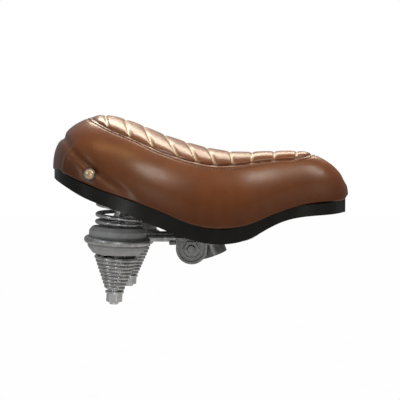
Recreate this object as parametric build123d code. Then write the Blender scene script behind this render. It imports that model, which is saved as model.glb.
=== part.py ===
from build123d import *
from math import cos, pi, radians, sin, tan
import os

# Sprung bicycle saddle: padded ribbed cover on a plastic base, two coil-sprung rear posts,
# twin wire rails and a loop-type seat-post clamp.
# Millimetres. Origin at the centre of the clamp bore, +X to the nose, +Y to the rider's left,
# +Z up with the rails level. Left-hand parts are built and mirrored or shifted to the right.

os.makedirs("parts", exist_ok=True)

# seat-post clamp
POST_R = 11.1  # bore for a 22.2 mm post
POST_LEAN = 20  # the post leans back going up, degrees
BAND_WALL = 2.5
BAND_HEIGHT = 32
BOLT_BACK = 17  # clamp bolt axis behind the bore centre
CLAMP_BOLT_R = 4.0
BOLT_FIT = 0.05  # running clearance on the clamp bolt, radius
EAR_R = 13
EAR_Y = (1.0, 14.0)
DISC_Y = (14.0, 15.8)  # serrated disc
INNER_Y = (15.9, 20.2)  # inner cheek
OUTER_Y = (20.8, 26.6)  # outer cheek plate
OUTER_RIM_Y = 31.0
OUTER_R = 15
WING = (-38.5, 6.5)  # inner cheek wings, X range

# rails
WIRE_R = 3.5
RAIL_Y = 20.5
RAIL_Z = 3.3
RAIL_BENDS = (-60, 24)  # the level part of the rail, X range
PIVOT = (112, 32)  # nose pivot, X and Z
JOURNAL_Y = (3, 13)

# rear spring posts
POST_Y = 47.5
RING_X = -84
RING_Z = 4.03
RING_R = 27
RING_LEAN = 3.5  # degrees, the posts lean forward going up
RING_SWEEP = 316
BUMPER_BORE = 8.2
SPRING_BOLT_R = 4.0
UPPER_COIL_R = 19.6
UPPER_WIRE = 4.0
UPPER_SPAN = (12.6, 43.0)  # upper spring, heights along the post axis
CONE_WIRE = 3.5
CONE_SPAN = (-12.4, -47.0)
CONE_RADII = (19.2, 7.4)
WIRE_SIDES = 12
BRIDGE_T = 3.0
NUT_AF = 13.0

# base plate
WALL = 3.0
OUTLINE = [(-145.6, 34), (-136.8, 66), (-122, 95), (-103, 107.5), (-62, 108), (-15, 87.5), (5, 73), (45, 46.5),
           (85, 34.5), (120, 26), (134, 9)]
OUTLINE_ENDS = (-148.5, 135.5)
# x, half width, height of the plate edge, crown
PLATE = [(-152, 60, 70, 2), (-125, 97, 66, 8), (-95, 109.5, 53.3, 15), (-60, 107.5, 40.5, 22),
         (-30, 96, 28, 26), (0, 76.5, 16, 27), (28, 57, 14.8, 24), (52, 44, 23.5, 17),
         (78, 36, 33.3, 9), (105, 31, 37.5, 6), (140, 31, 40, 3)]
# lower edge of the skirt, x and z
SKIRT = [(-153, 62.5), (-128, 57.8), (-104, 45.8), (-71, 32.9), (-39, 18.8), (-15, 8.1), (20, 2.1),
         (38, 5.5), (56, 14.3), (75, 21.9), (99, 25.7), (141, 29.5)]

# cushion
COVER_T = 2.0
COVER_GAP = 0.3
# x, half width, lower edge, crest
CUSHION = [(-150, 10, 71, 83), (-148.5, 27, 70.5, 89), (-144.5, 44, 70, 95), (-137, 68, 69.2, 101),
           (-129, 85, 67.6, 110), (-119.5, 98, 64, 115.6), (-108, 106, 59, 119.3),
           (-97, 110.3, 54.6, 119.8), (-86, 111.5, 50.2, 118), (-65, 109.5, 42.6, 112.2),
           (-40, 101.5, 32.6, 103), (-15, 88.5, 21, 95.4), (10, 70, 15.8, 90.4), (35, 53, 17.5, 88.6),
           (60, 42, 27, 89.3), (85, 35.8, 35, 89.8), (103, 32.6, 38, 87.2), (116, 28.8, 39, 81.3),
           (126, 23.5, 39.8, 73.8), (133, 16, 41.5, 65.5), (137, 8, 45, 57.5)]
SHOULDER = 2.7  # superellipse power of the cushion section
PANEL = [(-108, 40), (-100, 69), (-86, 82.5), (-66, 84), (-47, 82.5), (-25, 74.5), (-9, 66),
         (7, 55.5), (24, 44.4), (41, 35), (63, 28.2), (84, 24), (97, 17.5)]
PANEL_ENDS = (-111, 102)
# upper edge of the rear roll, x and z
ROLL = [(-156, 101), (-138, 100), (-129, 97.5), (-123, 94), (-114, 84), (-102.5, 73.7),
        (-91, 65.5), (-83, 59), (-71, 51), (-58, 40)]
STUD = (-96, 110.2, 63.7)
STUD_R = 5.75


STANDING = (Align.CENTER, Align.CENTER, Align.MIN)


def save(shape, name):
    export_step(shape, os.path.join("parts", name + ".step"))
    print(name, len(shape.solids()), round(shape.volume))


def mirrored(shape):
    return mirror(shape, about=Plane.XZ)


def shifted(shape):
    return Pos(0, -2 * POST_Y, 0) * shape


def along_y(radius, x, z, y0, y1):
    """Round bar parallel to Y."""
    return Pos(x, (y0 + y1) / 2, z) * Rot(90, 0, 0) * Cylinder(radius, abs(y1 - y0))


def box(x0, x1, y0, y1, z0, z1):
    return Pos((x0 + x1) / 2, (y0 + y1) / 2, (z0 + z1) / 2) * Box(x1 - x0, y1 - y0, z1 - z0)


def hex_bar(across, thick):
    return extrude(RegularPolygon(across / 2, 6, major_radius=False), thick)


# ---- clamp -------------------------------------------------------------------------------
LEAN = radians(POST_LEAN)
POST_PLANE = Plane(origin=(0, 0, 0), x_dir=(cos(LEAN), 0, sin(LEAN)), z_dir=(-sin(LEAN), 0, cos(LEAN)))
BOLT_X = -BOLT_BACK * cos(LEAN)
BOLT_Z = -BOLT_BACK * sin(LEAN)


def post_band():
    """Split band round the post with two round ears on the clamp bolt."""
    body = Cylinder(POST_R + BAND_WALL, BAND_HEIGHT)
    for side in (1, -1):
        y0, y1 = sorted((side * EAR_Y[0], side * EAR_Y[1]))
        body += box(-BOLT_BACK, -6, y0, y1, -EAR_R, EAR_R)
        body += along_y(EAR_R, -BOLT_BACK, 0, y0, y1)
    body -= Cylinder(POST_R, BAND_HEIGHT + 2)
    body -= box(-40, 0, -EAR_Y[0], EAR_Y[0], -BAND_HEIGHT, BAND_HEIGHT)
    body -= along_y(CLAMP_BOLT_R + BOLT_FIT, -BOLT_BACK, 0, -20, 20)
    return POST_PLANE * body


def teeth(y, depth=0.6, count=30):
    """Radial V grooves cut into a face normal to the clamp bolt at height y."""
    groove = extrude(Plane.YZ.offset(5.5) * RectangleRounded(2 * depth, 2 * depth, 0.05, rotation=45), 9)
    return [Pos(BOLT_X, y, BOLT_Z) * Rot(0, i * 360 / count, 0) * groove for i in range(count)]


def serrated_discs():
    disc = along_y(EAR_R, BOLT_X, BOLT_Z, *DISC_Y)
    disc -= along_y(CLAMP_BOLT_R + BOLT_FIT, BOLT_X, BOLT_Z, 0, 20)
    disc -= teeth(DISC_Y[1])
    return Compound([disc, mirrored(disc)])


def rail_groove():
    return Pos(0, RAIL_Y, RAIL_Z) * Rot(0, 90, 0) * Cylinder(WIRE_R + 0.02, 200)


def inner_cheek():
    """Serrated inner cheek with long wings that cradle the rail from the inside."""
    hub = along_y(EAR_R, BOLT_X, BOLT_Z, *INNER_Y)
    wing = box(WING[0], WING[1], *INNER_Y, -3, 5.6)
    wing = fillet(wing.edges().filter_by(Axis.Y), 2.5)
    body = hub + wing
    for x0 in (WING[0] + 0.6, WING[1] - 6.6):
        body += box(x0, x0 + 6, INNER_Y[0] + 1, 24, -3, 0)
    body -= rail_groove()
    body -= along_y(CLAMP_BOLT_R + BOLT_FIT, BOLT_X, BOLT_Z, 0, 30)
    return body - teeth(INNER_Y[0])


def shield(inset):
    """Clamp cheek outline in the XZ plane: flat top, round bottom."""
    r = OUTER_R - inset
    top = 4.3 - inset
    face = Pos(BOLT_X, BOLT_Z) * Circle(r) - Pos(BOLT_X, BOLT_Z + 25) * Rectangle(60, 50)
    face += Pos(BOLT_X, (BOLT_Z + top) / 2) * Rectangle(2 * r, top - BOLT_Z)
    return face


def shield_plate(inset, y0, y1):
    return mirror(Plane.XZ * extrude(shield(inset), y1 - y0), about=Plane.XZ).moved(Location((0, y0, 0)))


def outer_cheek():
    """Pressed outer cheek: rimmed cup with a raised U-shaped bead round the nut."""
    plate = shield_plate(0, OUTER_Y[0], OUTER_Y[1])
    rim = shield_plate(0, OUTER_Y[1] - 1, OUTER_RIM_Y) - shield_plate(2.2, OUTER_Y[1] - 2, OUTER_RIM_Y + 1)
    bead = shield_plate(4.4, OUTER_Y[1] - 1, OUTER_Y[1] + 2)
    bead -= shield_plate(6.2, OUTER_Y[1] - 2, OUTER_Y[1] + 3)
    body = plate + rim + bead
    body -= box(BOLT_X - 8, BOLT_X + 8, OUTER_Y[1], OUTER_RIM_Y + 1, BOLT_Z, 10)
    body -= rail_groove()
    return body - along_y(CLAMP_BOLT_R + BOLT_FIT, BOLT_X, BOLT_Z, 0, 40)


def nut_blank(height):
    """Plain hexagon nut, chamfered on its outer face, axis +Z from 0."""
    blank = hex_bar(NUT_AF, height)
    cone = Cone(NUT_AF / 2 + height * 1.7, NUT_AF / 2 - 0.2, height + 1, align=STANDING)
    return (blank & cone) - Cylinder(CLAMP_BOLT_R + 0.02, 3 * height)


def clamp_nut():
    nut = nut_blank(6.5)
    return Pos(BOLT_X, OUTER_Y[1] + 1.25, BOLT_Z) * Rot(-90, 0, 0) * nut


def clamp_washer():
    ring = along_y(7.6, BOLT_X, BOLT_Z, OUTER_Y[1] + 0.02, OUTER_Y[1] + 1.22)
    return ring - along_y(CLAMP_BOLT_R + 0.05, BOLT_X, BOLT_Z, 20, 40)


def clamp_bolt():
    end = 38.0
    bar = along_y(CLAMP_BOLT_R, BOLT_X, BOLT_Z, -end, end)
    return chamfer(bar.edges().filter_by(GeomType.CIRCLE), 0.8)


# ---- rails -------------------------------------------------------------------------------
TILT = radians(RING_LEAN)
RING_PLANE = Plane(
    origin=(RING_X, POST_Y, RING_Z), x_dir=(cos(TILT), 0, -sin(TILT)), z_dir=(sin(TILT), 0, cos(TILT)))


def rail_path():
    """Centre line of the left rail: nose journal, rise, level part, ring round the spring post."""
    px, pz = PIVOT
    journal = Line((px, JOURNAL_Y[0], pz), (px, JOURNAL_Y[1], pz))
    elbow = Spline([journal @ 1, (px - 5.5, 18.3, pz - 0.3)], tangents=[(0, 1, 0), (-1, 0, -0.12)])
    rise = Spline([elbow @ 1, (66, 19.8, 22.5), (46, 20.4, 9.5), (RAIL_BENDS[1], RAIL_Y, RAIL_Z)],
                  tangents=[(-1, 0, -0.12), (-1, 0, 0)])
    level = Line(rise @ 1, (RAIL_BENDS[0], RAIL_Y, RAIL_Z))
    start = RING_PLANE.from_local_coords(Vector(0, -RING_R, 0))
    lead = Spline([level @ 1, start], tangents=[(-1, 0, 0), (-cos(TILT), 0, sin(TILT))])
    ring = RING_PLANE * CenterArc((0, 0), RING_R, -90, -RING_SWEEP)
    return Wire([journal, elbow, rise, level, lead] + ring.edges())


def rail(radius=WIRE_R):
    path = rail_path()
    end = Plane(origin=path @ 0, z_dir=path % 0)
    return sweep(end * Circle(radius), path=path)


# ---- spring posts, built on the left -----------------------------------------------------
def bumper(profile, round_r):
    """Rubber ring turned from its section, with its outer corners rounded and a groove for the loop."""
    face = make_face(Polyline(*profile, profile[0]))
    face = fillet(face.vertices().filter_by(lambda v: v.X > 20), round_r)
    return RING_PLANE * revolve(Plane.XZ * face, Axis.Z) - rail(WIRE_R + 0.05)


def upper_bumper():
    """Rubber ring seated in the rail loop from above."""
    side = [(22.6, 0.1), (26.4, 3.8), (26.4, 8.6), (23.4, 12.4)]
    return bumper([(BUMPER_BORE, 0.1)] + side + [(BUMPER_BORE, 12.4)], 1.9)


def lower_bumper():
    """Rubber cup seated in the rail loop from below."""
    side = [(22.6, -0.1), (27.4, -4.4), (26.2, -7.4), (22, -12.2)]
    return bumper([(BUMPER_BORE, -0.1)] + side + [(BUMPER_BORE, -12.2)], 1.4)


def coil(radius, height, turns, wire):
    """Coil of wire, drawn with WIRE_SIDES sides; radius and height are functions of the turn count."""
    steps = int(turns * 10)
    points = []
    for i in range(steps + 1):
        t = turns * i / steps
        points.append((radius(t) * cos(2 * pi * t), radius(t) * sin(2 * pi * t), height(t)))
    path = Spline(points)
    section = Plane(origin=path @ 0, z_dir=path % 0) * RegularPolygon(wire / 2, WIRE_SIDES)
    return RING_PLANE * sweep(section, path=path, is_frenet=True)


def upper_spring():
    """Load spring with one closed coil at each end and open coils between."""
    low, high = UPPER_SPAN
    turns, closed = 4.6, UPPER_WIRE + 0.2
    opened = high - low - UPPER_WIRE - turns * closed

    def height(t):
        share = min(max((t - 0.7) / (turns - 1.4), 0), 1)
        return low + UPPER_WIRE / 2 + closed * t + opened * (1 - cos(pi * share)) / 2

    return coil(lambda t: UPPER_COIL_R, height, turns, UPPER_WIRE)


def cone_spring():
    """Close-wound rebound spring, wide end up."""
    turns = 9.2
    top = CONE_SPAN[0] - CONE_WIRE / 2
    drop = CONE_SPAN[0] - CONE_SPAN[1] - CONE_WIRE

    def radius(t):
        return CONE_RADII[0] + (CONE_RADII[1] - CONE_RADII[0]) * t / turns

    return coil(radius, lambda t: top - drop * t / turns, turns, CONE_WIRE)


def spring_bolt():
    """Long hexagon bolt from the bridge down through the post."""
    seat = UPPER_SPAN[1] + 0.1 + BRIDGE_T
    shank = Pos(0, 0, (seat - 59.5) / 2) * Cylinder(SPRING_BOLT_R, seat + 59.5)
    head = Pos(0, 0, seat) * hex_bar(NUT_AF, 5.3)
    return RING_PLANE * (shank + head)


def spring_nut():
    return RING_PLANE * Pos(0, 0, -49.2) * Rot(180, 0, 0) * nut_blank(8.0)


def spring_washer():
    ring = Pos(0, 0, -48.2) * (Cylinder(8.6, 1.6) - Cylinder(SPRING_BOLT_R + 0.05, 3))
    return RING_PLANE * ring


# ---- base plate --------------------------------------------------------------------------
def plan_face(points, ends, inset=0, steps=24):
    """Closed plan outline from the half widths on one side, moved in by inset."""
    square = [(0, 1), (0, -1)]
    left = Spline([(ends[0], 0)] + points + [(ends[1], 0)], tangents=square)
    if inset:
        moved = []
        for i in range(steps + 1):
            along = left % (i / steps)
            moved.append(left @ (i / steps) + Vector(along.Y, -along.X) * inset)
        left = Spline(moved, tangents=square)
    right = mirror(left, about=Plane.XZ)
    return make_face(Wire(left.edges() + right.edges()))


def under_plate(drop):
    """Space below the crowned top of the plate, lowered by drop."""
    sections = []
    for x, half, edge, crown in PLATE:
        reach = half + 5
        low = edge - crown * ((reach / half) ** 2 - 1) - drop
        arch = ThreePointArc((x, -reach, low), (x, 0, edge + crown - drop), (x, reach, low))
        rest = Polyline((x, reach, low), (x, reach, -30), (x, -reach, -30), (x, -reach, low))
        sections.append(make_face(Wire(arch.edges() + rest.edges())))
    return loft(sections)


def side_prism(points, level):
    """Prism between a side-view curve and a level line above or below it."""
    curve = Spline([(x, 0, z) for x, z in points])
    x0, z0 = points[0]
    x1, z1 = points[-1]
    rest = Polyline((x1, 0, z1), (x1, 0, level), (x0, 0, level), (x0, 0, z0))
    face = make_face(Wire(curve.edges() + rest.edges()))
    return extrude(face, 130, dir=(0, 1, 0), both=True)


def bridge_posts():
    return [(RING_X + dx, dy) for dx in (9, -9) for dy in (17, -17)]


def nose_posts():
    return [(97, 5), (97, -5), (122, 0)]


def base_shell():
    """Moulded base: crowned plate with a deep skirt, bosses for the bridge and the nose bracket."""
    plan = plan_face(OUTLINE, OUTLINE_ENDS)
    block = Pos(0, 0, -5) * extrude(plan, 90)
    solid = block & under_plate(0) & side_prism(SKIRT, 140)
    hollow = Pos(0, 0, -20) * extrude(plan_face(OUTLINE, OUTLINE_ENDS, WALL), 110)
    shell = solid - (hollow & under_plate(WALL))
    for x, y in bridge_posts():
        z = RING_Z + bridge_height(x) + BRIDGE_T + 0.4
        shell += under_plate(1) & Pos(x, y, z) * Cylinder(6, 60, align=STANDING)
    for x, y in nose_posts():
        shell += under_plate(1) & Pos(x, y, 38.6) * Cylinder(4.5, 30, align=STANDING)
    for x, y in bridge_posts():
        shell -= Pos(x, y, RING_Z + bridge_height(x)) * Cylinder(2.0, 18)
    for x, y in nose_posts():
        shell -= Pos(x, y, 36) * Cylinder(1.5, 10)
    return shell


def bridge_height(x):
    """Height of the underside of the bridge above the ring centre at x."""
    return (UPPER_SPAN[1] + 0.1) / cos(TILT) - (x - RING_X) * tan(TILT) + 0.05


def spring_bridge():
    """Steel strap joining the two spring posts under the base."""
    z0 = UPPER_SPAN[1] + 0.1
    pad = Cylinder(23, BRIDGE_T, align=STANDING)
    body = Pos(0, 0, z0) * pad + Pos(0, -2 * POST_Y, z0) * pad
    body += box(-19, 13, -2 * POST_Y, 0, z0, z0 + BRIDGE_T)
    body -= Cylinder(SPRING_BOLT_R + 0.05, 200) + Pos(0, -2 * POST_Y, 0) * Cylinder(SPRING_BOLT_R + 0.05, 200)
    body = RING_PLANE * body
    for x, y in bridge_posts():
        body -= Pos(x, y, 40) * Cylinder(2.2, 60)
    return body


def bridge_screws():
    screws = []
    for x, y in bridge_posts():
        z = RING_Z + bridge_height(x)
        head = Pos(x, y, z - 2.3) * Cylinder(4.0, 1.6)
        shank = Pos(x, y, z + 3.2) * Cylinder(1.95, 10)
        screws.append(head + shank)
    return Compound(screws)


def nose_bracket():
    """Riveted plate with a cross tube that takes the turned-in rail ends."""
    px, pz = PIVOT
    plate = fillet(box(91, 127, -10.5, 10.5, 36.1, 38.6).edges().filter_by(Axis.Z), 4)
    tube = along_y(6, px, pz, -12, 12)
    web = box(px - 6, px + 6, -12, 12, pz, 37)
    body = plate + tube + web - along_y(WIRE_R + 0.05, px, pz, -20, 20)
    for x, y in nose_posts():
        body -= Pos(x, y, 37) * Cylinder(1.6, 10)
    return body


def nose_rivets():
    rivets = []
    for x, y in nose_posts():
        head = Pos(x, y, 35.3) * Cylinder(2.8, 1.4)
        shank = Pos(x, y, 37.9) * Cylinder(1.45, 5)
        rivets.append(head + shank)
    return Compound(rivets)


# ---- cushion -----------------------------------------------------------------------------
def cushion(inset):
    """Padded body lofted through cross sections, shrunk all round by inset."""
    sections = []
    rear, front = CUSHION[0][0], CUSHION[-1][0]
    for x, half, low, crest in CUSHION:
        station = x + inset * (rear + front - 2 * x) / (front - rear)
        w = half - min(inset, half / 3)
        rise = crest - low - min(inset, 4)
        points = []
        for k in range(15):
            t = pi * k / 14
            y = w * abs(cos(t)) ** (2 / SHOULDER) * (1 if t < pi / 2 else -1)
            points.append((station, y, low + rise * sin(t) ** (2 / SHOULDER)))
        arch = Spline(points)
        sections.append(make_face(Wire([arch.edge(), Line(arch @ 1, arch @ 0).edge()])))
    return loft(sections)


def cushion_parts():
    """Foam pad and the five panels of the cover."""
    plate = under_plate(-COVER_GAP)
    foam = cushion(COVER_T + COVER_GAP) - plate
    skin = cushion(0) - cushion(COVER_T) - plate
    panel = Pos(0, 0, 60) * extrude(plan_face(PANEL, PANEL_ENDS), 90)
    top = skin & panel
    rest = skin - panel
    below = side_prism(ROLL, 0)
    flank = rest - below - studs()
    left = flank & box(-200, 200, 0, 150, 0, 200)
    right = flank & box(-200, 200, -150, 0, 0, 200)
    return foam, top, left, right, (rest & below) - studs()


def studs():
    """Domed decorative stud with a thin collar."""
    x, y, z = STUD
    dome = extrude(Circle(STUD_R), 0.8) + (Pos(0, 0, -5.4) * Sphere(7.9) & Pos(0, 0, 5.8) * Box(20, 20, 10))
    collar = extrude(Circle(STUD_R + 0.9), 0.6)
    place = Location((x, y, z), (-90, 0, 6))
    stud = place * (dome + collar)
    return Compound([stud, mirrored(stud)])


def write_all():
    for maker in (post_band, serrated_discs, clamp_bolt, base_shell, spring_bridge, bridge_screws,
                  nose_bracket, nose_rivets):
        save(maker(), maker.__name__)
    for maker in (inner_cheek, outer_cheek, clamp_nut, clamp_washer, rail, upper_bumper, lower_bumper):
        left = maker()
        save(left, maker.__name__ + "_left")
        save(mirrored(left), maker.__name__ + "_right")
    for maker in (upper_spring, cone_spring, spring_bolt, spring_nut, spring_washer):
        left = maker()
        save(left, maker.__name__ + "_left")
        save(shifted(left), maker.__name__ + "_right")
    names = ("foam_pad", "cover_top_panel", "cover_side_left", "cover_side_right", "cover_rear_roll")
    for shape, name in zip(cushion_parts(), names):
        save(shape, name)
    save(studs(), "cover_studs")


write_all()
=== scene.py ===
# %% [markdown]
# # A sprung bicycle saddle
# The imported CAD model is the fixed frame: rails, bumpers, bolts and the clamp are already the right
# shape, so they only need finishes. The padded cover, the coil springs and the studs are made here,
# because they need more detail than a plain solid holds. Sizes are in millimetres until a mesh is made.

from math import cos, pi, radians, sin

import bpy
import numpy as np
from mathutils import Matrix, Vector
from mathutils.kdtree import KDTree


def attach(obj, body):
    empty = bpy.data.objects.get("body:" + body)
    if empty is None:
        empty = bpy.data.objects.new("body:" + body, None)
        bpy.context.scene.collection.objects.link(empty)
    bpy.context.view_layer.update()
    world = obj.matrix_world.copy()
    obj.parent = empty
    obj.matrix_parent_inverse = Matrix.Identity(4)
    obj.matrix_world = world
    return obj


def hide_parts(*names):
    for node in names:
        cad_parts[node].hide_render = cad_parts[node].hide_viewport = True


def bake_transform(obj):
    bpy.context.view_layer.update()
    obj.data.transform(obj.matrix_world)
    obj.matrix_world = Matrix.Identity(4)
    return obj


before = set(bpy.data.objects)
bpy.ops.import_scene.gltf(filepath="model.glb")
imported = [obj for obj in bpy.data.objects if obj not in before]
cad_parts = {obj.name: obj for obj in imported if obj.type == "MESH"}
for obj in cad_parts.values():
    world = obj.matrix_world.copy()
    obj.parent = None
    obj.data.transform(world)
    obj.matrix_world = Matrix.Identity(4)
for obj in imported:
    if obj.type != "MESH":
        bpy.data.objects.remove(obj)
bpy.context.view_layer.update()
scene = bpy.context.scene
MM = 0.001
SIDES = ("left", "right")

# %% [markdown]
# ## Camera
# A saddle is nearly always shown from its side at eye height with the rails, so that the dip of the
# seat reads. The lens is a normal one held close, which makes the wide rear loom a little.

# %% Camera
CAM_TARGET = Vector((-0.0087, 0.0, 0.0399))
CAM_DISTANCE = 0.565
CAM_AZIMUTH = radians(1.4)
CAM_ELEVATION = radians(1.5)
back = Vector((sin(CAM_AZIMUTH) * cos(CAM_ELEVATION), -cos(CAM_AZIMUTH) * cos(CAM_ELEVATION),
               sin(CAM_ELEVATION)))
lens = bpy.data.cameras.new("camera")
lens.sensor_width = 36
lens.lens = 50.5
lens.clip_start = 0.01
camera = bpy.data.objects.new("camera", lens)
camera.location = CAM_TARGET + back * CAM_DISTANCE
camera.rotation_euler = (-back).to_track_quat("-Z", "Y").to_euler()
scene.collection.objects.link(camera)
scene.camera = camera
print("camera", lens.lens, "mm lens,", CAM_DISTANCE, "m away")

# %% [markdown]
# ## Helpers for nodes and colour
# Every tree below, shader or geometry, is built with one small function: it makes a node, sets its
# options, and either links or fills each input. Colours are kept as sRGB hex values, as a paint
# chart gives them, and turned to the linear values that the renderer adds up.


# %% One function for nodes, one for colour
def node(tree, kind, feeds=None, **options):
    """Add a node; feeds maps an input to a value or to the socket that drives it."""
    made = tree.nodes.new(kind)
    for name, value in options.items():
        setattr(made, name, value)
    for key, value in (feeds or {}).items():
        if isinstance(value, bpy.types.NodeSocket):
            tree.links.new(value, made.inputs[key])
        else:
            made.inputs[key].default_value = value
    return made


def linear(hex_code):
    """sRGB hex to linear RGBA."""
    parts = [int(hex_code[i:i + 2], 16) / 255 for i in (1, 3, 5)]
    return [c / 12.92 if c <= 0.04045 else ((c + 0.055) / 1.055) ** 2.4 for c in parts] + [1.0]


def new_material(name):
    """A material with its tree emptied; returns the material and the tree."""
    made = bpy.data.materials.new(name)
    made.use_nodes = True
    made.node_tree.nodes.clear()
    return made, made.node_tree


def finish_material(tree, feeds, bump=None, strength=0.2, depth_mm=0.1):
    """Principled surface, with an optional height pattern as bump."""
    surface = node(tree, "ShaderNodeBsdfPrincipled", feeds)
    if bump is not None:
        relief = {"Strength": strength, "Distance": depth_mm * MM, "Height": bump}
        raised = node(tree, "ShaderNodeBump", relief)
        tree.links.new(raised.outputs["Normal"], surface.inputs["Normal"])
    node(tree, "ShaderNodeOutputMaterial", {"Surface": surface.outputs[0]})
    return surface


def per_metre(size_mm):
    """Texture scale for features of this size, as Object coordinates are in metres."""
    return 1 / (size_mm * MM)


# %% [markdown]
# ## Light and ground
# The saddle stands in an even white studio with five soft boxes. The strongest, above and behind the
# seat, skims the ribs. A front one and a warm high one light the cover, and two weak ones, beside the
# rear and low in front, draw edges on the springs and the clamp. The world is brighter above than
# below, so the underside stays dark. The floor is far below, because the saddle is held by its post.

# %% Studio
FLOOR_Z = -0.42


def soft_box(name, place, aim, size, power, tint="#ffffff"):
    data = bpy.data.lights.new(name, "AREA")
    data.shape = "RECTANGLE"
    data.size, data.size_y = size
    data.energy = power
    data.color = linear(tint)[:3]
    lamp = bpy.data.objects.new(name, data)
    lamp.location = place
    lamp.rotation_euler = (Vector(aim) - Vector(place)).to_track_quat("-Z", "Y").to_euler()
    scene.collection.objects.link(lamp)
    return lamp


soft_box("back_box", (0.09, 0.62, 0.80), (0, 0, 0.06), (0.92, 0.26), 7.4, "#fff5e0")
soft_box("front_box", (0.62, -0.58, 0.70), (0, 0, 0.06), (0.34, 0.34), 3.1)
soft_box("high_box", (0.05, -0.42, 1.00), (0, 0, 0.06), (0.7, 0.3), 1.9, "#ffd9a0")
soft_box("side_box", (-0.80, -0.85, 0.35), (0, 0, 0.02), (0.2, 0.5), 0.9)
soft_box("low_strip", (0.12, -1.20, 0.0), (-0.09, 0, 0.0), (0.08, 0.5), 1.1)

world = bpy.data.worlds.new("studio_white")
world.use_nodes = True
scene.world = world
tree = world.node_tree
tree.nodes.clear()
direction = node(tree, "ShaderNodeTexCoord")
parts = node(tree, "ShaderNodeSeparateXYZ", {"Vector": direction.outputs["Generated"]})
feeds = {"Value": parts.outputs["Z"], "From Min": -0.3, "From Max": 0.8, "To Min": 0.06, "To Max": 0.46}
height = node(tree, "ShaderNodeMapRange", feeds).outputs["Result"]
rays = node(tree, "ShaderNodeLightPath")
seen = node(tree, "ShaderNodeMath", {0: rays.outputs["Is Camera Ray"], 1: height}, operation="MAXIMUM")
sky = node(tree, "ShaderNodeBackground", {"Color": linear("#ffffff"), "Strength": seen.outputs[0]})
node(tree, "ShaderNodeOutputWorld", {"Surface": sky.outputs[0]})

paper, tree = new_material("white_paper_sweep")
place = node(tree, "ShaderNodeTexCoord").outputs["Object"]
feeds = {"Vector": place, "Scale": per_metre(40), "Detail": 3.0}
grain = node(tree, "ShaderNodeTexNoise", feeds).outputs["Fac"]
feeds = {0: grain, 6: linear("#fdfdfd"), 7: linear("#ffffff")}
white = node(tree, "ShaderNodeMix", feeds, data_type="RGBA").outputs[2]
glow = node(tree, "ShaderNodeEmission", {"Color": white, "Strength": 1.0})
matt = node(tree, "ShaderNodeBsdfDiffuse", {"Color": linear("#d8d8d8")})
rays = node(tree, "ShaderNodeLightPath")
feeds = {0: rays.outputs["Is Camera Ray"], 1: matt.outputs[0], 2: glow.outputs[0]}
which = node(tree, "ShaderNodeMixShader", feeds)
node(tree, "ShaderNodeOutputMaterial", {"Surface": which.outputs[0]})
sheet = bpy.data.meshes.new("floor")
REACH = 8
sheet.from_pydata([(-REACH, -REACH, FLOOR_Z), (REACH, -REACH, FLOOR_Z), (REACH, REACH, FLOOR_Z),
                   (-REACH, REACH, FLOOR_Z)], [], [(0, 1, 2, 3)])
sheet.materials.append(paper)
floor = bpy.data.objects.new("floor", sheet)
scene.collection.objects.link(floor)
scene.view_settings.view_transform = "Standard"
print("soft boxes", len(bpy.data.lights), "floor at", FLOOR_Z, "m")

# %% [markdown]
# ## Finishes for the hardware
# The rails and springs are steel wire with a thin light-grey coat, the clamp is zinc-plated pressed
# steel, the bumpers are grey EPDM rubber, and the base is injection-moulded black polypropylene. A
# flat colour would look like plastic on all of them, so each gets the marks its own process leaves.
# Noise on Object coordinates, with its grain in mm, varies the colour, the gloss and a faint bump.


# %% Coated steel wire
def coated_wire(name, dark, light, roughness):
    """Drawn steel wire under a thin light-grey coat, with slightly uneven gloss."""
    made, tree = new_material(name)
    place = node(tree, "ShaderNodeTexCoord").outputs["Object"]
    feeds = {"Vector": place, "Scale": per_metre(5), "Detail": 3.0}
    patch = node(tree, "ShaderNodeTexNoise", feeds).outputs["Fac"]
    feeds = {"Value": patch, "From Min": 0.35, "From Max": 0.7}
    wear = node(tree, "ShaderNodeMapRange", feeds).outputs["Result"]
    feeds = {0: wear, 6: linear(dark), 7: linear(light)}
    tone = node(tree, "ShaderNodeMix", feeds, data_type="RGBA").outputs[2]
    feeds = {"Vector": place, "Scale": per_metre(1.5), "Detail": 3.0}
    haze = node(tree, "ShaderNodeTexNoise", feeds).outputs["Fac"]
    feeds = {"Value": haze, "From Min": 0.3, "From Max": 0.7,
             "To Min": roughness - 0.06, "To Max": roughness + 0.08}
    rough = node(tree, "ShaderNodeMapRange", feeds).outputs["Result"]
    feeds = {"Vector": place, "Scale": per_metre(1.6), "Detail": 3.0}
    marks = node(tree, "ShaderNodeTexNoise", feeds).outputs["Fac"]
    feeds = {"Base Color": tone, "Roughness": rough, "Metallic": 0.75}
    finish_material(tree, feeds, marks, 0.05, 0.04)
    return made


# %% Zinc-plated pressed steel
def zinc_plate(name, dark, light):
    """Zinc over pressed or turned steel: a faint spangle varies the colour and the gloss."""
    made, tree = new_material(name)
    place = node(tree, "ShaderNodeTexCoord").outputs["Object"]
    feeds = {"Vector": place, "Scale": per_metre(3.0)}
    spangle = node(tree, "ShaderNodeTexVoronoi", feeds).outputs["Color"]
    value = node(tree, "ShaderNodeSeparateColor", {"Color": spangle}).outputs[0]
    feeds = {0: value, 6: linear(dark), 7: linear(light)}
    tone = node(tree, "ShaderNodeMix", feeds, data_type="RGBA").outputs[2]
    feeds = {"Value": value, "From Min": 0, "From Max": 1, "To Min": 0.30, "To Max": 0.46}
    rough = node(tree, "ShaderNodeMapRange", feeds).outputs["Result"]
    feeds = {"Vector": place, "Scale": per_metre(1.5), "Detail": 3.0}
    marks = node(tree, "ShaderNodeTexNoise", feeds).outputs["Fac"]
    feeds = {"Base Color": tone, "Roughness": rough, "Metallic": 0.9}
    finish_material(tree, feeds, marks, 0.05, 0.04)
    return made


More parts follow.
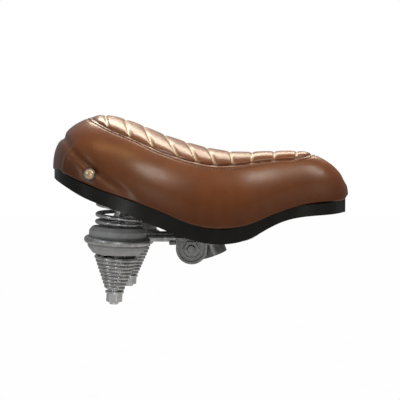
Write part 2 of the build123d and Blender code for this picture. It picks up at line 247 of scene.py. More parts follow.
# %% Moulded rubber
def bumper_rubber():
    """Compression-moulded grey rubber: matt with a dusty bloom and fine pitting."""
    made, tree = new_material("moulded_epdm_rubber")
    place = node(tree, "ShaderNodeTexCoord").outputs["Object"]
    feeds = {"Vector": place, "Scale": per_metre(9), "Detail": 5}
    dust = node(tree, "ShaderNodeTexNoise", feeds).outputs["Fac"]
    feeds = {"Value": dust, "From Min": 0.3, "From Max": 0.75}
    bloom = node(tree, "ShaderNodeMapRange", feeds).outputs["Result"]
    feeds = {0: bloom, 6: linear("#9b9c9e"), 7: linear("#b6b7b8")}
    tone = node(tree, "ShaderNodeMix", feeds, data_type="RGBA").outputs[2]
    feeds = {"Vector": place, "Scale": per_metre(0.6), "Detail": 3.0}
    pits = node(tree, "ShaderNodeTexNoise", feeds).outputs["Fac"]
    finish_material(tree, {"Base Color": tone, "Roughness": 0.62}, pits, 0.35, 0.08)
    return made


# %% Moulded polypropylene
def base_plastic():
    """Black moulded polypropylene: near-black, fine spark-eroded texture, soft gloss."""
    made, tree = new_material("moulded_black_polypropylene")
    place = node(tree, "ShaderNodeTexCoord").outputs["Object"]
    feeds = {"Vector": place, "Scale": per_metre(14), "Detail": 3.0}
    patch = node(tree, "ShaderNodeTexNoise", feeds).outputs["Fac"]
    feeds = {0: patch, 6: linear("#0b0b09"), 7: linear("#151411")}
    tone = node(tree, "ShaderNodeMix", feeds, data_type="RGBA").outputs[2]
    feeds = {"Value": patch, "From Min": 0.3, "From Max": 0.7, "To Min": 0.30, "To Max": 0.42}
    rough = node(tree, "ShaderNodeMapRange", feeds).outputs["Result"]
    feeds = {"Vector": place, "Scale": per_metre(0.5), "Detail": 3.0}
    texture = node(tree, "ShaderNodeTexNoise", feeds).outputs["Fac"]
    feeds = {"Base Color": tone, "Roughness": rough, "Specular IOR Level": 0.3}
    finish_material(tree, feeds, texture, 0.25, 0.06)
    return made


# %% Put the finishes on the CAD nodes
wire = coated_wire("coated_steel_wire", "#a2a3a5", "#c6c7c9", 0.30)
spring_wire = coated_wire("oil_tempered_spring_wire", "#a0a1a3", "#d0d1d3", 0.24)
zinc = zinc_plate("dull_zinc_plated_steel", "#6b6b6b", "#8f8f8e")
bright = zinc_plate("bright_zinc_plated_steel", "#cfd0d2", "#eeeff0")
rubber = bumper_rubber()
plastic = base_plastic()
FINISH = {"spring_bridge": wire, "spring_": bright, "screws": bright, "rivets": bright, "rail": wire,
          "nose_bracket": wire, "bumper": rubber, "base_shell": plastic}


def finish_for(name):
    """The finish whose key is in the node's name; fasteners and the clamp are zinc."""
    for key, finish in FINISH.items():
        if key in name:
            return finish
    return zinc


for name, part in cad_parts.items():
    finish = finish_for(name)
    if part.data.materials:
        part.data.materials[0] = finish
    else:
        part.data.materials.append(finish)
print("CAD nodes finished:", len(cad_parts))

# %% [markdown]
# ## The shape of the cushion
# A saddle is a run of cross sections along its length: each is a superellipse, steep at the flank and
# flat on top, whose width, lower edge and crest change from station to station. The same stations
# as the CAD pad are joined by smooth curves, and a fine grid of points is laid over them with equal
# steps round each section.

# %% Stations and smooth curves through them
STATIONS = np.array([
    (-150, 10, 71, 83), (-148.5, 27, 70.5, 89), (-144.5, 44, 70, 95), (-137, 68, 69.2, 101),
    (-129, 85, 67.6, 110), (-119.5, 98, 64, 115.6), (-108, 106, 59, 119.3), (-97, 110.3, 54.6, 119.8),
    (-86, 111.5, 50.2, 118), (-65, 109.5, 42.6, 112.2), (-40, 101.5, 32.6, 103), (-15, 88.5, 21, 95.4),
    (10, 70, 15.8, 90.4), (35, 53, 17.5, 88.6), (60, 42, 27, 89.3), (85, 35.8, 35, 89.8),
    (103, 32.6, 38, 87.2), (116, 28.8, 39, 81.3), (126, 23.5, 39.8, 73.8), (133, 16, 41.5, 65.5),
    (137, 8, 45, 57.5)], float)
SHOULDER = 2.7
LIP = 1.8  # rounding where the cover turns under to the base, mm
TIP = 1.5  # how far the closed ends reach past the last stations, mm


def smooth_curve(xs, ys, x):
    """Monotone cubic through the points, so it never overshoots them."""
    xs, ys, x = (np.asarray(a, float) for a in (xs, ys, x))
    run, slope = np.diff(xs), np.diff(ys) / np.diff(xs)
    tangent = np.empty_like(ys)
    tangent[0], tangent[-1] = slope[0], slope[-1]
    same = slope[:-1] * slope[1:] > 0
    mean = (run[1:] * slope[:-1] + run[:-1] * slope[1:]) / (run[:-1] + run[1:])
    tangent[1:-1] = np.where(same, mean, 0)
    i = np.clip(np.searchsorted(xs, x) - 1, 0, len(run) - 1)
    t = (x - xs[i]) / run[i]
    return ((2 * t**3 - 3 * t**2 + 1) * ys[i] + (t**3 - 2 * t**2 + t) * run[i] * tangent[i]
            + (3 * t**2 - 2 * t**3) * ys[i + 1] + (t**3 - t**2) * run[i] * tangent[i + 1])


def soften(values, reach):
    """Running mean that keeps the two ends."""
    kernel = np.ones(2 * reach + 1) / (2 * reach + 1)
    out = values.copy()
    out[reach:-reach] = np.convolve(values, kernel, "valid")
    return out


def section(half, low, crest, count):
    """Half section from the lip under the flank to the crest, in equal steps; returns y and z."""
    t = np.linspace(0, pi / 2, 400)
    y = half * np.cos(t) ** (2 / SHOULDER)
    z = low + (crest - low) * np.sin(t) ** (2 / SHOULDER)
    turn = np.clip(1 - (z - low) / LIP, 0, 1)
    y = np.maximum(y - LIP * (1 - np.sqrt(1 - turn**2)), 0)
    y = np.concatenate([[y[0] * 0.9], y])
    z = np.concatenate([[low], z])
    steps = np.concatenate([[0], np.cumsum(np.hypot(np.diff(y), np.diff(z)))])
    at = np.linspace(0, steps[-1], count)
    return np.interp(at, steps, y), np.interp(at, steps, z)


def cushion_grid(rows, half_columns):
    """Points of the cushion, rows along X and columns from the right flank over to the left."""
    x0, x1 = STATIONS[0, 0], STATIONS[-1, 0]
    x = x0 + (x1 - x0) * (1 - np.cos(pi * np.linspace(0, 1, rows))) / 2
    curves = [soften(smooth_curve(STATIONS[:, 0], STATIONS[:, k], x), rows // 60) for k in (1, 2, 3)]
    grid = []
    caps = [radians(a) for a in (84, 66, 48, 30, 14)]
    for angle in caps:
        grid.append((x0 - TIP * sin(angle), 0, cos(angle)))
    for i in range(rows):
        grid.append((x[i], i, 1.0))
    for angle in reversed(caps):
        grid.append((x1 + TIP * sin(angle), rows - 1, cos(angle)))
    out = np.empty((len(grid), 2 * half_columns - 1, 3))
    for row, (place, i, shrink) in enumerate(grid):
        half, low, crest = (c[i] for c in curves)
        y, z = section(half, low, crest, half_columns)
        y, z = y * shrink, low + (z - low) * shrink
        out[row, :, 0] = place
        out[row, :, 1] = np.concatenate([-y, y[-2::-1]])
        out[row, :, 2] = np.concatenate([z, z[-2::-1]])
    return out


def grid_normals(grid):
    """Outward unit normals of a grid of points."""
    along, across = np.gradient(grid, axis=0), np.gradient(grid, axis=1)
    normal = np.cross(along, across)
    return normal / np.maximum(np.linalg.norm(normal, axis=2, keepdims=True), 1e-9)


ROWS, HALF = ((330, 135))
cover = cushion_grid(ROWS, HALF)
normals = grid_normals(cover)
print("cover grid", cover.shape)

# %% [markdown]
# ## Seams, ribs and creases as lines on the cushion
# A sewn seam pulls the cover down along a line, so every feature is a line in space and each grid
# point only needs its distance to it. A k-d tree finds that distance quickly for any line.

# %% Feature lines
PANEL = [(-111, 0), (-109.5, 30), (-105, 56), (-97, 74), (-85, 82.5), (-66, 84.5), (-47, 82.5),
         (-25, 74.5), (-9, 66), (7, 55.5), (24, 44.4), (41, 35), (63, 28.2), (84, 24), (97, 17.5),
         (102, 8), (103, 0)]
CREASE = [(-138, 0, 100), (-135, 40, 100), (-129, 66, 97.5), (-123, 86, 94), (-114, 101.6, 84),
          (-102.5, 108.7, 73.7), (-91, 110.9, 65), (-83, 111.2, 59), (-71, 110.4, 51), (-58, 108, 41)]
FOLD = [(-114.6, 99.3, 87.4), (-118.5, 101, 82), (-121, 100.4, 77), (-121.6, 98.1, 67.3)]
STUD = (-96, 111.2, 63.7)


def dense_line(points, count):
    """Evenly spaced points on a smooth line through the given ones."""
    points = np.asarray(points, float)
    steps = np.concatenate([[0], np.cumsum(np.linalg.norm(np.diff(points, axis=0), axis=1))])
    at = np.linspace(0, steps[-1], count)
    return np.stack([smooth_curve(steps, points[:, k], at) for k in range(points.shape[1])], axis=1)


def tree_of(points):
    tree = KDTree(len(points))
    for i, p in enumerate(points):
        tree.insert(p, i)
    tree.balance()
    return tree


def distance_to(tree, grid):
    """Distance of every grid point to the nearest point in the tree."""
    flat = grid.reshape(-1, 3)
    return np.array([tree.find(p)[2] for p in flat]).reshape(grid.shape[:2])


def onto(grid, points):
    """A line laid on the grid, evened out so that it doesn't step from point to point."""
    tree = tree_of(grid.reshape(-1, 3))
    near = np.array([tree.find(p)[0] for p in points])
    wide = np.pad(near, ((6, 6), (0, 0)), mode="edge")
    return np.stack([np.convolve(wide[:, k], np.ones(13) / 13, "valid") for k in range(3)], axis=1)


def both_sides(points):
    flip = points * (1, -1, 1)
    return np.concatenate([points, flip])


def height_at(x, y):
    """Height of the plain cushion above a plan position."""
    half, low, crest = (smooth_curve(STATIONS[:, 0], STATIONS[:, k], x) for k in (1, 2, 3))
    return low + (crest - low) * np.clip(1 - np.abs(y / half) ** SHOULDER, 0, 1) ** (1 / SHOULDER)


panel_plan = dense_line(PANEL, 900)
seam = np.column_stack([panel_plan, height_at(panel_plan[:, 0], panel_plan[:, 1])])
crease = onto(cover, dense_line(CREASE, 500))
fold = onto(cover, dense_line(FOLD, 80))
from_seam = distance_to(tree_of(both_sides(seam)), cover)
from_crease = distance_to(tree_of(both_sides(crease)), cover)
from_fold = distance_to(tree_of(both_sides(fold)), cover)
from_stud = distance_to(tree_of(both_sides(np.array([STUD]))), cover)
X, Y, Z = (cover[..., k] for k in range(3))
panel_half = np.interp(X, panel_plan[:, 0], panel_plan[:, 1], left=0, right=0)
in_panel = np.abs(Y) < panel_half
side_line = crease[np.argsort(crease[:, 0])]
below_crease = Z < np.interp(X, side_line[:, 0], side_line[:, 2], left=200, right=0)
print("panel points", int(in_panel.sum()), "roll points", int(below_crease.sum()))

# %% [markdown]
# ## Swelling the foam
# Foam behind a sewn cover swells between its seams. A coarse closed copy of the cushion is remeshed
# and put under a light pressure with Blender's cloth, held where it is sewn and where it is tacked
# to the base, and only how far each point rose is kept. The rise is small, about a millimetre at
# most: the cushion's form comes from its cross sections and from the features added below.


# %% Cloth swelling
def swelling(grid):
    """Rise of the cushion surface in mm after a short cloth run under pressure."""
    most = 3.5
    coarse = cushion_grid(70, 26)
    rows, columns = coarse.shape[:2]
    faces = []
    for i in range(rows - 1):
        for j in range(columns):
            k = (j + 1) % columns
            this, ahead = i * columns, (i + 1) * columns
            faces.append((this + j, ahead + j, ahead + k, this + k))
    faces.append(tuple(range(columns)))
    faces.append(tuple(reversed(range((rows - 1) * columns, rows * columns))))
    mesh = bpy.data.meshes.new("foam_core")
    mesh.from_pydata([tuple(p) for p in coarse.reshape(-1, 3) * MM], [], faces)
    core = bpy.data.objects.new("foam_core", mesh)
    scene.collection.objects.link(core)
    bpy.context.view_layer.objects.active = core
    remesh = core.modifiers.new("even_mesh", "REMESH")
    remesh.mode = "VOXEL"
    remesh.voxel_size = 5.5 * MM
    bpy.context.view_layer.update()
    even = bpy.data.meshes.new_from_object(core.evaluated_get(bpy.context.evaluated_depsgraph_get()))
    core.modifiers.remove(remesh)
    core.data = even
    start = np.array([v.co[:] for v in even.vertices])
    sewn = np.concatenate([both_sides(seam), both_sides(crease)])
    sewn_tree = tree_of(sewn * MM)
    edge = np.interp(start[:, 0] / MM, STATIONS[:, 0], STATIONS[:, 2]) * MM
    held = core.vertex_groups.new(name="held")
    for i, p in enumerate(start):
        if p[2] < edge[i] + 7 * MM or sewn_tree.find(p)[2] < 4 * MM:
            held.add([i], 1.0, "REPLACE")
    cloth = core.modifiers.new("pressure", "CLOTH")
    cloth.settings.quality = 4
    cloth.settings.mass = 0.3
    cloth.settings.use_pressure = True
    cloth.settings.uniform_pressure_force = 4
    cloth.settings.effector_weights.gravity = 0
    cloth.settings.vertex_group_mass = "held"
    cloth.point_cache.frame_start = 1
    cloth.point_cache.frame_end = 20
    for step in range(1, 21):
        scene.frame_set(step)
    blown = core.evaluated_get(bpy.context.evaluated_depsgraph_get()).to_mesh()
    end = np.array([v.co[:] for v in blown.vertices])
    out = np.array([v.normal[:] for v in even.vertices])
    rise = np.clip(((end - start) * out).sum(axis=1) / MM, 0, most)
    core.modifiers.remove(cloth)
    scene.frame_set(1)
    bpy.data.objects.remove(core)
    tree = tree_of(start / MM)
    result = np.empty(grid.shape[:2])
    flat = result.reshape(-1)
    for i, p in enumerate(grid.reshape(-1, 3)):
        near = tree.find_n(p, 6)
        weight = np.array([1 / (n[2] + 0.6) ** 2 for n in near])
        flat[i] = (rise[[n[1] for n in near]] * weight).sum() / weight.sum()
    print("swelling mm: mean %.2f, most %.2f" % (rise.mean(), rise.max()))
    return result


def blur(field, times):
    """Average each value with its neighbours in the grid."""
    for _ in range(times):
        wide = np.pad(field, 1, mode="edge")
        field = (wide[:-2, 1:-1] + wide[2:, 1:-1] + wide[1:-1, :-2] + wide[1:-1, 2:] + 4 * field) / 8
    return field


rise = blur(swelling(cover), 8)

# %% [markdown]
# ## Ribs
# The middle panel is quilted: the cover is stitched down along bowed grooves and the foam stands up
# between them. Each groove meets the seam at a known place and bows forward as it goes out, so a
# point's place between two grooves gives the height of its rib.

# %% Rib field
# where a groove meets the seam, and how far it has moved forward from the middle
GROOVES = [(-86, 14), (-66, 15), (-46.5, 17), (-25.5, 18), (-9, 13), (7, 9), (23.5, 3), (41, -2),
           (63, -2), (84, -3.5)]
RIB_RISE = 1.05
GROOVE_WIDTH = 1.3
out_share = np.clip(np.abs(Y) / np.maximum(panel_half, 1), 0, 1)
lines = np.stack([x - bow * (1 - out_share**2) for x, bow in GROOVES])
lines = np.concatenate([lines[:1] - 18, lines, lines[-1:] + 20])
gap = X[None] - lines
nearest = np.min(np.abs(gap), axis=0)
index = np.clip((gap > 0).sum(axis=0) - 1, 0, len(lines) - 2)
low_line = np.take_along_axis(lines, index[None], 0)[0]
high_line = np.take_along_axis(lines, index[None] + 1, 0)[0]
share = np.clip((X - low_line) / (high_line - low_line), 0, 1)
inside = np.clip(from_seam / 7, 0, 1) * in_panel
rib = np.sin(pi * share) ** 0.35 * np.sqrt(inside)
rear_fade = np.clip((X + 110) / 12, 0, 1)
rib_height = RIB_RISE * (rib * rear_fade + (1 - rear_fade) * inside * 0.7)
groove_mark = np.exp(-(nearest / GROOVE_WIDTH) ** 2) * (inside > 0.15) * rear_fade
print("grooves", len(GROOVES), "tallest rib mm %.2f" % rib_height.max())

# %% [markdown]
# ## Pulling the features into the surface
# Everything now adds up to one distance along the normal: the swelling, the ribs, the valley of the
# sewn seam with a second row beside it, the rolled edge round the rear and its crease, the soft fold
# at the corner and the dimple under each stud.

# %% Depths and widths of the features, mm
LET_DOWN = 1.6  # how far the drawn surface is lowered before the features are added
EDGE_FADE = 20  # height above the base over which the cover comes free
GROOVE_SINK = 0.9
SEAM_SINK, SEAM_EASE, SEAM_WIDTH = 1.1, 0.8, 1.3  # the ease makes the seam shallower at the rear
CREST_RISE, CREST_X, CREST_REACH = 3.2, -94, 34
ROW_SINK, ROW_OUT, ROW_WIDTH = 0.35, 4.2, 0.9
ROLL_RISE, ROLL_REACH = 1.0, 5
CREASE_SINK, CREASE_WIDTH = 1.7, 3.4
FOLD_RISE, FOLD_WIDTH = 1.2, 3.2
STUD_SINK, STUD_REACH = 1.2, 7
# painted shade toward the base of the cover: its strength, and the height over which it fades, mm
BASE_SHADE_STRENGTH, BASE_SHADE_HEIGHT = 0.95, 30
# width of the painted highlight along the rib grooves, mm
GROOVE_HIGHLIGHT_WIDTH = 0.9


def near_to(distance, width):
    """1 on a line, falling smoothly to 0 over a few widths."""
    return np.exp(-(distance / width) ** 2)


# %% Displace the grid
low_edge = smooth_curve(STATIONS[:, 0], STATIONS[:, 2], np.clip(X, -150, 137))
edge_hold = np.clip((Z - low_edge) / EDGE_FADE, 0, 1)
edge_hold = edge_hold**2 * (3 - 2 * edge_hold)
rise_all = (rise - LET_DOWN) * edge_hold
rise_all += rib_height - GROOVE_SINK * groove_mark
seam_depth = SEAM_SINK - SEAM_EASE * np.clip((-X - 88) / 12, 0, 1)
rise_all -= seam_depth * near_to(from_seam, SEAM_WIDTH)
crest_middle = np.clip((100 - np.abs(Y)) / 60, 0, 1)
rise_all += CREST_RISE * near_to(X - CREST_X, CREST_REACH) * crest_middle * edge_hold
second_row = near_to(from_seam - ROW_OUT, ROW_WIDTH) * ~in_panel
rise_all -= ROW_SINK * second_row
roll = below_crease * np.clip((-X - 52) / 25, 0, 1)
rise_all += ROLL_RISE * roll * (1 - near_to(from_crease, ROLL_REACH)) * edge_hold
crease_fade = np.clip((-X - 56) / 20, 0, 1)
rise_all -= CREASE_SINK * near_to(from_crease, CREASE_WIDTH) * crease_fade
rise_all += FOLD_RISE * near_to(from_fold, FOLD_WIDTH)
rise_all -= STUD_SINK * near_to(from_stud, STUD_REACH)
cover = cover + normals * rise_all[..., None]
print("rise mm: %.2f to %.2f" % (rise_all.min(), rise_all.max()))

# %% Where the cover gets painted shade and painted highlights
seam_shade = np.maximum(near_to(from_seam, SEAM_WIDTH), 0.6 * second_row)
crease_shade = 0.6 * near_to(from_crease, 3.0) * crease_fade
# painted shade: the cover is darker toward its lower edge
painted_base_shade = BASE_SHADE_STRENGTH * near_to(Z - low_edge, BASE_SHADE_HEIGHT)
shade = np.maximum(np.maximum(seam_shade, crease_shade), painted_base_shade)
# painted highlight: thin pale lines along the rib grooves
groove_highlight = near_to(nearest, GROOVE_HIGHLIGHT_WIDTH) * (inside > 0.35) * rear_fade
print("mean shade %.2f, mean rub %.2f" % (shade.mean(), groove_highlight.mean()))

# %% [markdown]
# ## The cover material
# The cover is PVC-coated cloth, embossed with a fine leather grain and printed with a mottled tan.
# Painted shade darkens it in the seams and creases and toward the edge of the base, and thin painted
# highlights run in the rib grooves. The coat is smooth, so highlights are fairly tight; the grain is
# about
# 1 mm across, which only just shows at this size.


# %% Leathercloth
def leathercloth():
    """Mottled tan, with painted shade in seams, creases and at the base, and painted highlights in the
    grooves.
    """
    made, tree = new_material("embossed_leathercloth")
    place = node(tree, "ShaderNodeTexCoord").outputs["Object"]
    feeds = {"Vector": place, "Scale": per_metre(22), "Detail": 4}
    patch = node(tree, "ShaderNodeTexNoise", feeds).outputs["Fac"]
    feeds = {"Value": patch, "From Min": 0.32, "From Max": 0.70}
    mottle = node(tree, "ShaderNodeMapRange", feeds).outputs["Result"]
    feeds = {0: mottle, 6: linear("#743a0c"), 7: linear("#83440f")}
    tan = node(tree, "ShaderNodeMix", feeds, data_type="RGBA").outputs[2]
    # painted shade: the tan goes dark brown in the seams, the creases and toward the base
    shade_share = node(tree, "ShaderNodeAttribute", attribute_name="seam_shade").outputs["Fac"]
    feeds = {"Value": shade_share, "From Min": 0, "From Max": 1, "To Min": 0, "To Max": 0.75}
    depth = node(tree, "ShaderNodeMapRange", feeds).outputs["Result"]
    feeds = {0: depth, 6: tan, 7: linear("#3a1808")}
    deep = node(tree, "ShaderNodeMix", feeds, data_type="RGBA").outputs[2]
    # painted highlight: cream is mixed in along the rib grooves
    groove_glint = node(tree, "ShaderNodeAttribute", attribute_name="painted_groove_highlight").outputs["Fac"]
    feeds = {"Value": groove_glint, "From Min": 0, "From Max": 1, "To Min": 0, "To Max": 0.85}
    glint_amount = node(tree, "ShaderNodeMapRange", feeds).outputs["Result"]
    feeds = {0: glint_amount, 6: deep, 7: linear("#d9c199")}
    pale = node(tree, "ShaderNodeMix", feeds, data_type="RGBA").outputs[2]
    feeds = {"Vector": place, "Scale": per_metre(1.3)}
    cells = node(tree, "ShaderNodeTexVoronoi", feeds, feature="DISTANCE_TO_EDGE").outputs["Distance"]
    feeds = {"Vector": place, "Scale": per_metre(3.0), "Detail": 3.0}
    waves = node(tree, "ShaderNodeTexNoise", feeds).outputs["Fac"]
    pores = node(tree, "ShaderNodeMath", {0: cells, 1: waves}, operation="ADD").outputs[0]
    feeds = {"Vector": place, "Scale": per_metre(9), "Detail": 3.0}
    haze = node(tree, "ShaderNodeTexNoise", feeds).outputs["Fac"]
    feeds = {"Value": haze, "From Min": 0.3, "From Max": 0.7, "To Min": 0.30, "To Max": 0.40}
    rough = node(tree, "ShaderNodeMapRange", feeds).outputs["Result"]
    feeds = {"Base Color": pale, "Roughness": rough, "IOR": 1.5, "Coat Weight": 0.2,
             "Coat Roughness": 0.25, "Specular Tint": linear("#fbeed8")}
    finish_material(tree, feeds, pores, 0.22, 0.12)
    return made


leather = leathercloth()
print("cover material:", leather.name)

# %% [markdown]
# ## Cutting the grid into the sewn panels
# A real cover is cut from four pieces. The grid's faces are shared out between them by the same
# lines, so the pieces meet exactly on the seams.


# %% Panels
def grid_piece(name, grid, keep, fields, finish):
    """Mesh object from the grid faces that keep selects, with point attributes."""
    rows, columns = grid.shape[:2]
    number = np.arange(rows * columns).reshape(rows, columns)
    quads = np.stack([number[:-1, :-1], number[1:, :-1], number[1:, 1:], number[:-1, 1:]], axis=-1)
    quads = quads[keep].reshape(-1, 4)
    used, quads = np.unique(quads, return_inverse=True)
    quads = quads.reshape(-1, 4)
    mesh = bpy.data.meshes.new(name)
    points = grid.reshape(-1, 3)[used] * MM
    mesh.from_pydata([tuple(p) for p in points], [], [tuple(int(i) for i in q) for q in quads])
    for field, values in fields.items():
        layer = mesh.attributes.new(field, "FLOAT", "POINT")
        layer.data.foreach_set("value", values.reshape(-1)[used].astype(np.float32))
    mesh.shade_smooth()
    mesh.materials.append(finish)
    piece = bpy.data.objects.new(name, mesh)
    scene.collection.objects.link(piece)
    return piece


def per_face(values):
    return values[:-1, :-1] & values[1:, 1:]


face_panel = per_face(in_panel)
face_roll = per_face(below_crease) & ~face_panel
face_left = (cover[:-1, :-1, 1] + cover[1:, 1:, 1] > 0) & ~face_panel & ~face_roll
face_right = ~face_left & ~face_panel & ~face_roll
fields = {"seam_shade": shade, "painted_groove_highlight": groove_highlight}
PANELS = {
    "cover_top": (face_panel, ("cover_top_panel", "foam_pad")),
    "cover_roll": (face_roll, ("cover_rear_roll",)),
    "cover_left": (face_left, ("cover_side_left",)),
    "cover_right": (face_right, ("cover_side_right",)),
}
for name, (keep, nodes) in PANELS.items():
    piece = grid_piece(name, cover, keep, fields, leather)
    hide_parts(*nodes)
    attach(piece, "seat_top")
    print(name, len(piece.data.polygons), "faces")

# %% [markdown]
# ## Springs
# A coil is a line that climbs as it turns, so Geometry Nodes makes both kinds from one tree: the Spiral
# node gives the turns, its height is remapped so that the load spring lies closed at its ends, and a
# circle is swept along it. The sizes given to the tree follow the CAD spring that it stands for.


# %% Coil tree
def coil_tree(finish):
    tree = bpy.data.node_groups.new("wire_coil", "GeometryNodeTree")
    sizes = {"Turns": 4.0, "Low Radius": 0.01, "High Radius": 0.01, "Height": 0.03, "Wire": 0.002,
             "Closed": 1.0}
    for name, value in sizes.items():
        socket = tree.interface.new_socket(name, in_out="INPUT", socket_type="NodeSocketFloat")
        socket.default_value = value
    tree.interface.new_socket("Geometry", in_out="OUTPUT", socket_type="NodeSocketGeometry")
    size = node(tree, "NodeGroupInput").outputs
    feeds = {"Resolution": 40, "Rotations": size["Turns"], "Start Radius": size["Low Radius"],
             "End Radius": size["High Radius"], "Height": size["Height"]}
    spiral = node(tree, "GeometryNodeCurveSpiral", feeds)
    place = node(tree, "GeometryNodeInputPosition")
    parts = node(tree, "ShaderNodeSeparateXYZ", {0: place.outputs[0]})
    feeds = {0: parts.outputs["Z"], 1: size["Height"]}
    share = node(tree, "ShaderNodeMath", feeds, operation="DIVIDE").outputs[0]
    feeds = {"Value": share, "From Min": 0.15, "From Max": 0.85}
    eased = node(tree, "ShaderNodeMapRange", feeds, interpolation_type="SMOOTHSTEP").outputs["Result"]
    feeds = {0: size["Closed"], 2: share, 3: eased}
    even = node(tree, "ShaderNodeMix", feeds).outputs[0]
    lifted = node(tree, "ShaderNodeMath", {0: even, 1: size["Height"]}, operation="MULTIPLY").outputs[0]
    spot = node(tree, "ShaderNodeCombineXYZ", {0: parts.outputs["X"], 1: parts.outputs["Y"], 2: lifted})
    feeds = {"Geometry": spiral.outputs[0], "Position": spot.outputs[0]}
    eased_line = node(tree, "GeometryNodeSetPosition", feeds)
    feeds = {"Resolution": 14, "Radius": size["Wire"]}
    round_wire = node(tree, "GeometryNodeCurvePrimitiveCircle", feeds)
    feeds = {"Curve": eased_line.outputs[0], "Profile Curve": round_wire.outputs[0], "Fill Caps": True}
    swept = node(tree, "GeometryNodeCurveToMesh", feeds)
    solid = node(tree, "GeometryNodeRealizeInstances", {"Geometry": swept.outputs[0]})
    painted = node(tree, "GeometryNodeSetMaterial", {"Geometry": solid.outputs[0], "Material": finish})
    node(tree, "NodeGroupOutput", {0: painted.outputs[0]})
    return tree


def grown(name, tree, inputs, start=None):
    """Object whose mesh is what the tree makes, as plain geometry."""
    base = start or bpy.data.meshes.new(name + "_start")
    maker = bpy.data.objects.new(name + "_maker", base)
    scene.collection.objects.link(maker)
    modifier = maker.modifiers.new("make", "NODES")
    modifier.node_group = tree
    for item in tree.interface.items_tree:
        if item.in_out == "INPUT" and item.name in inputs:
            modifier[item.identifier] = inputs[item.name]
    bpy.context.view_layer.update()
    mesh = bpy.data.meshes.new_from_object(maker.evaluated_get(bpy.context.evaluated_depsgraph_get()))
    mesh.name = name
    bpy.data.objects.remove(maker)
    piece = bpy.data.objects.new(name, mesh)
    scene.collection.objects.link(piece)
    return piece


# %% Load springs and cone springs
LEAN = radians(3.5)
POST_AXIS = Vector((sin(LEAN), 0, cos(LEAN)))
tree = coil_tree(spring_wire)
SPRINGS = {
    "upper_spring": {"Turns": 4.4, "Low Radius": 19.6, "High Radius": 19.6, "Height": 26.4,
                     "Wire": 2.0, "Closed": 0.55},
    "cone_spring": {"Turns": 9.2, "Low Radius": 7.4, "High Radius": 19.2, "Height": 31.1,
                    "Wire": 1.75, "Closed": 0.0},
}
COUNTS = ("Turns", "Closed")
FOOT = {"upper_spring": 14.6, "cone_spring": -45.25}  # first turn above the loop along the post, mm
RING = Vector((-84, 0, 4.03))  # middle between the two loops, mm
POST_Y = 47.5  # half the distance between the spring posts, mm
for kind, sizes in SPRINGS.items():
    inputs = {key: value if key in COUNTS else value * MM for key, value in sizes.items()}
    for side, sign in zip(SIDES, (1, -1)):
        piece = grown(f"{kind}_coil_{side}", tree, inputs)
        foot = (RING + Vector((0, sign * POST_Y, 0)) + POST_AXIS * FOOT[kind]) * MM
        turn = POST_AXIS.to_track_quat("Z", "Y").to_matrix().to_4x4()
        turn.translation = foot
        piece.data.transform(turn)
        piece.data.shade_smooth()
        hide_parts(f"{kind}_{side}")
        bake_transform(piece)
        print(piece.name, len(piece.data.polygons), "faces")

# %% [markdown]
# ## Sewing thread
# The panel seam is lock-stitched, and a second row is sewn beside it. Stitches repeat along a line, so
# Geometry Nodes places one small thread loop every few millimetres and turns it along the seam.


# %% Thread and its tree
def sewing_thread():
    """Bonded polyester thread: twisted, waxed, a shade darker than the cover."""
    made, tree = new_material("bonded_polyester_thread")
    place = node(tree, "ShaderNodeTexCoord").outputs["Object"]
    feeds = {"Vector": place, "Scale": per_metre(0.8), "Detail": 3.0}
    twist = node(tree, "ShaderNodeTexNoise", feeds).outputs["Fac"]
    feeds = {0: twist, 6: linear("#5f3212"), 7: linear("#7d471d")}
    tone = node(tree, "ShaderNodeMix", feeds, data_type="RGBA").outputs[2]
    finish_material(tree, {"Base Color": tone, "Roughness": 0.5}, twist, 0.3, 0.1)
    return made


def stitch_tree(finish):
    tree = bpy.data.node_groups.new("stitch_row", "GeometryNodeTree")
    tree.interface.new_socket("Geometry", in_out="INPUT", socket_type="NodeSocketGeometry")
    for name, value in {"Pitch": 0.004, "Stitch": 0.003, "Thread": 0.0004}.items():
        socket = tree.interface.new_socket(name, in_out="INPUT", socket_type="NodeSocketFloat")
        socket.default_value = value
    tree.interface.new_socket("Geometry", in_out="OUTPUT", socket_type="NodeSocketGeometry")
    given = node(tree, "NodeGroupInput").outputs
    line = node(tree, "GeometryNodeMeshToCurve", {0: given["Geometry"]})
    feeds = {"Curve": line.outputs[0], "Length": given["Pitch"]}
    spots = node(tree, "GeometryNodeCurveToPoints", feeds, mode="LENGTH")
    ball = node(tree, "GeometryNodeMeshUVSphere", {"Segments": 6, "Rings": 6, "Radius": 0.5})
    feeds = {0: given["Thread"], 1: given["Thread"], 2: given["Stitch"]}
    size = node(tree, "ShaderNodeCombineXYZ", feeds)
    feeds = {"Points": spots.outputs[0], "Instance": ball.outputs[0],
             "Rotation": spots.outputs["Rotation"], "Scale": size.outputs[0]}
    placed = node(tree, "GeometryNodeInstanceOnPoints", feeds)
    solid = node(tree, "GeometryNodeRealizeInstances", {"Geometry": placed.outputs[0]})
    painted = node(tree, "GeometryNodeSetMaterial", {"Geometry": solid.outputs[0], "Material": finish})
    node(tree, "NodeGroupOutput", {0: painted.outputs[0]})
    return tree


# %% Rows of stitches
def row_mesh(name, points):
    mesh = bpy.data.meshes.new(name)
    mesh.from_pydata([tuple(p * MM) for p in points], [(i, i + 1) for i in range(len(points) - 1)], [])
    return mesh


def sewn_row(offset):
    """Closed run of surface points a set distance outside the panel seam."""
    along = np.gradient(panel_plan, axis=0)
    out = np.stack([-along[:, 1], along[:, 0]], axis=1)
    out /= np.linalg.norm(out, axis=1, keepdims=True)
    plan = panel_plan + out * offset
    half = np.column_stack([plan, height_at(plan[:, 0], plan[:, 1])])
    near = onto(cover, half)
    right = near[::-1] * (1, -1, 1)
    return np.concatenate([near, right])


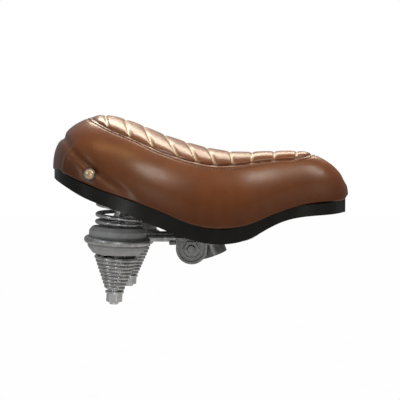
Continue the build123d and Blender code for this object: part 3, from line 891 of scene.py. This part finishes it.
thread = sewing_thread()
tree = stitch_tree(thread)
ROW_OFFSET = 2.9
row = sewn_row(ROW_OFFSET)
inputs = {"Pitch": 4.0 * MM, "Stitch": 3.4 * MM, "Thread": 0.7 * MM}
stitches = grown("seam_stitches", tree, inputs, row_mesh("seam_line", row))
stitches.data.shade_smooth()
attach(stitches, "seat_top")
print("stitches", len(stitches.data.polygons), "faces")

# %% [markdown]
# ## Studs
# Each rear corner is tacked with a domed nail: a pressed brass cap in a thin zinc-plated collar. Its
# section is drawn once and spun round its axis.


# %% Stud
def polished_cap():
    """Lacquered pale brass: warm, tight highlights, a little uneven."""
    made, tree = new_material("lacquered_pale_brass")
    place = node(tree, "ShaderNodeTexCoord").outputs["Object"]
    feeds = {"Vector": place, "Scale": per_metre(2.5), "Detail": 3.0}
    patch = node(tree, "ShaderNodeTexNoise", feeds).outputs["Fac"]
    feeds = {0: patch, 6: linear("#c9ab84"), 7: linear("#e2cba6")}
    tone = node(tree, "ShaderNodeMix", feeds, data_type="RGBA").outputs[2]
    feeds = {"Value": patch, "From Min": 0.3, "From Max": 0.7, "To Min": 0.22, "To Max": 0.34}
    rough = node(tree, "ShaderNodeMapRange", feeds).outputs["Result"]
    feeds = {"Vector": place, "Scale": per_metre(1.0), "Detail": 3.0}
    marks = node(tree, "ShaderNodeTexNoise", feeds).outputs["Fac"]
    feeds = {"Base Color": tone, "Roughness": rough, "Metallic": 0.6}
    finish_material(tree, feeds, marks, 0.1, 0.05)
    return made


def spun(name, profile, origin, axis, finish, steps=48):
    """Turn a radius and height profile round an axis; the last point closes on the axis."""
    points, faces = [], []
    turn = Vector(axis).to_track_quat("Z", "Y")
    for r, h in profile[:-1]:
        for k in range(steps):
            a = 2 * pi * k / steps
            points.append((Vector(origin) + turn @ Vector((r * cos(a), r * sin(a), h))) * MM)
    points.append((Vector(origin) + turn @ Vector((0, 0, profile[-1][1]))) * MM)
    rings = len(profile) - 1
    for i in range(rings - 1):
        for k in range(steps):
            m = (k + 1) % steps
            faces.append((i * steps + k, i * steps + m, (i + 1) * steps + m, (i + 1) * steps + k))
    for k in range(steps):
        faces.append(((rings - 1) * steps + k, (rings - 1) * steps + (k + 1) % steps, len(points) - 1))
    mesh = bpy.data.meshes.new(name)
    mesh.from_pydata(points, [], faces)
    mesh.shade_smooth()
    mesh.materials.append(finish)
    piece = bpy.data.objects.new(name, mesh)
    scene.collection.objects.link(piece)
    return piece


CAP = [(4.1, 0.6)] + [(4.0 * cos(a), 0.9 + 2.0 * sin(a)) for a in np.linspace(0.05, pi / 2, 12)]
COLLAR = [(4.9, -1.5), (4.9, 0.3), (4.7, 0.8), (4.3, 0.9), (4.0, 0.4), (0, 0.4)]
brass = polished_cap()
for side, sign in zip(SIDES, (1, -1)):
    origin = (STUD[0], sign * (STUD[1] - 1.2), STUD[2])
    axis = (-0.08, sign * 1.0, 0.0)
    cap = spun(f"stud_cap_{side}", CAP, origin, axis, brass)
    collar = spun(f"stud_collar_{side}", COLLAR, origin, axis, zinc)
    for piece in (cap, collar):
        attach(piece, "seat_top")
    if side == "left":
        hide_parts("cover_studs")
    print(cap.name, collar.name, len(cap.data.polygons) + len(collar.data.polygons), "faces")
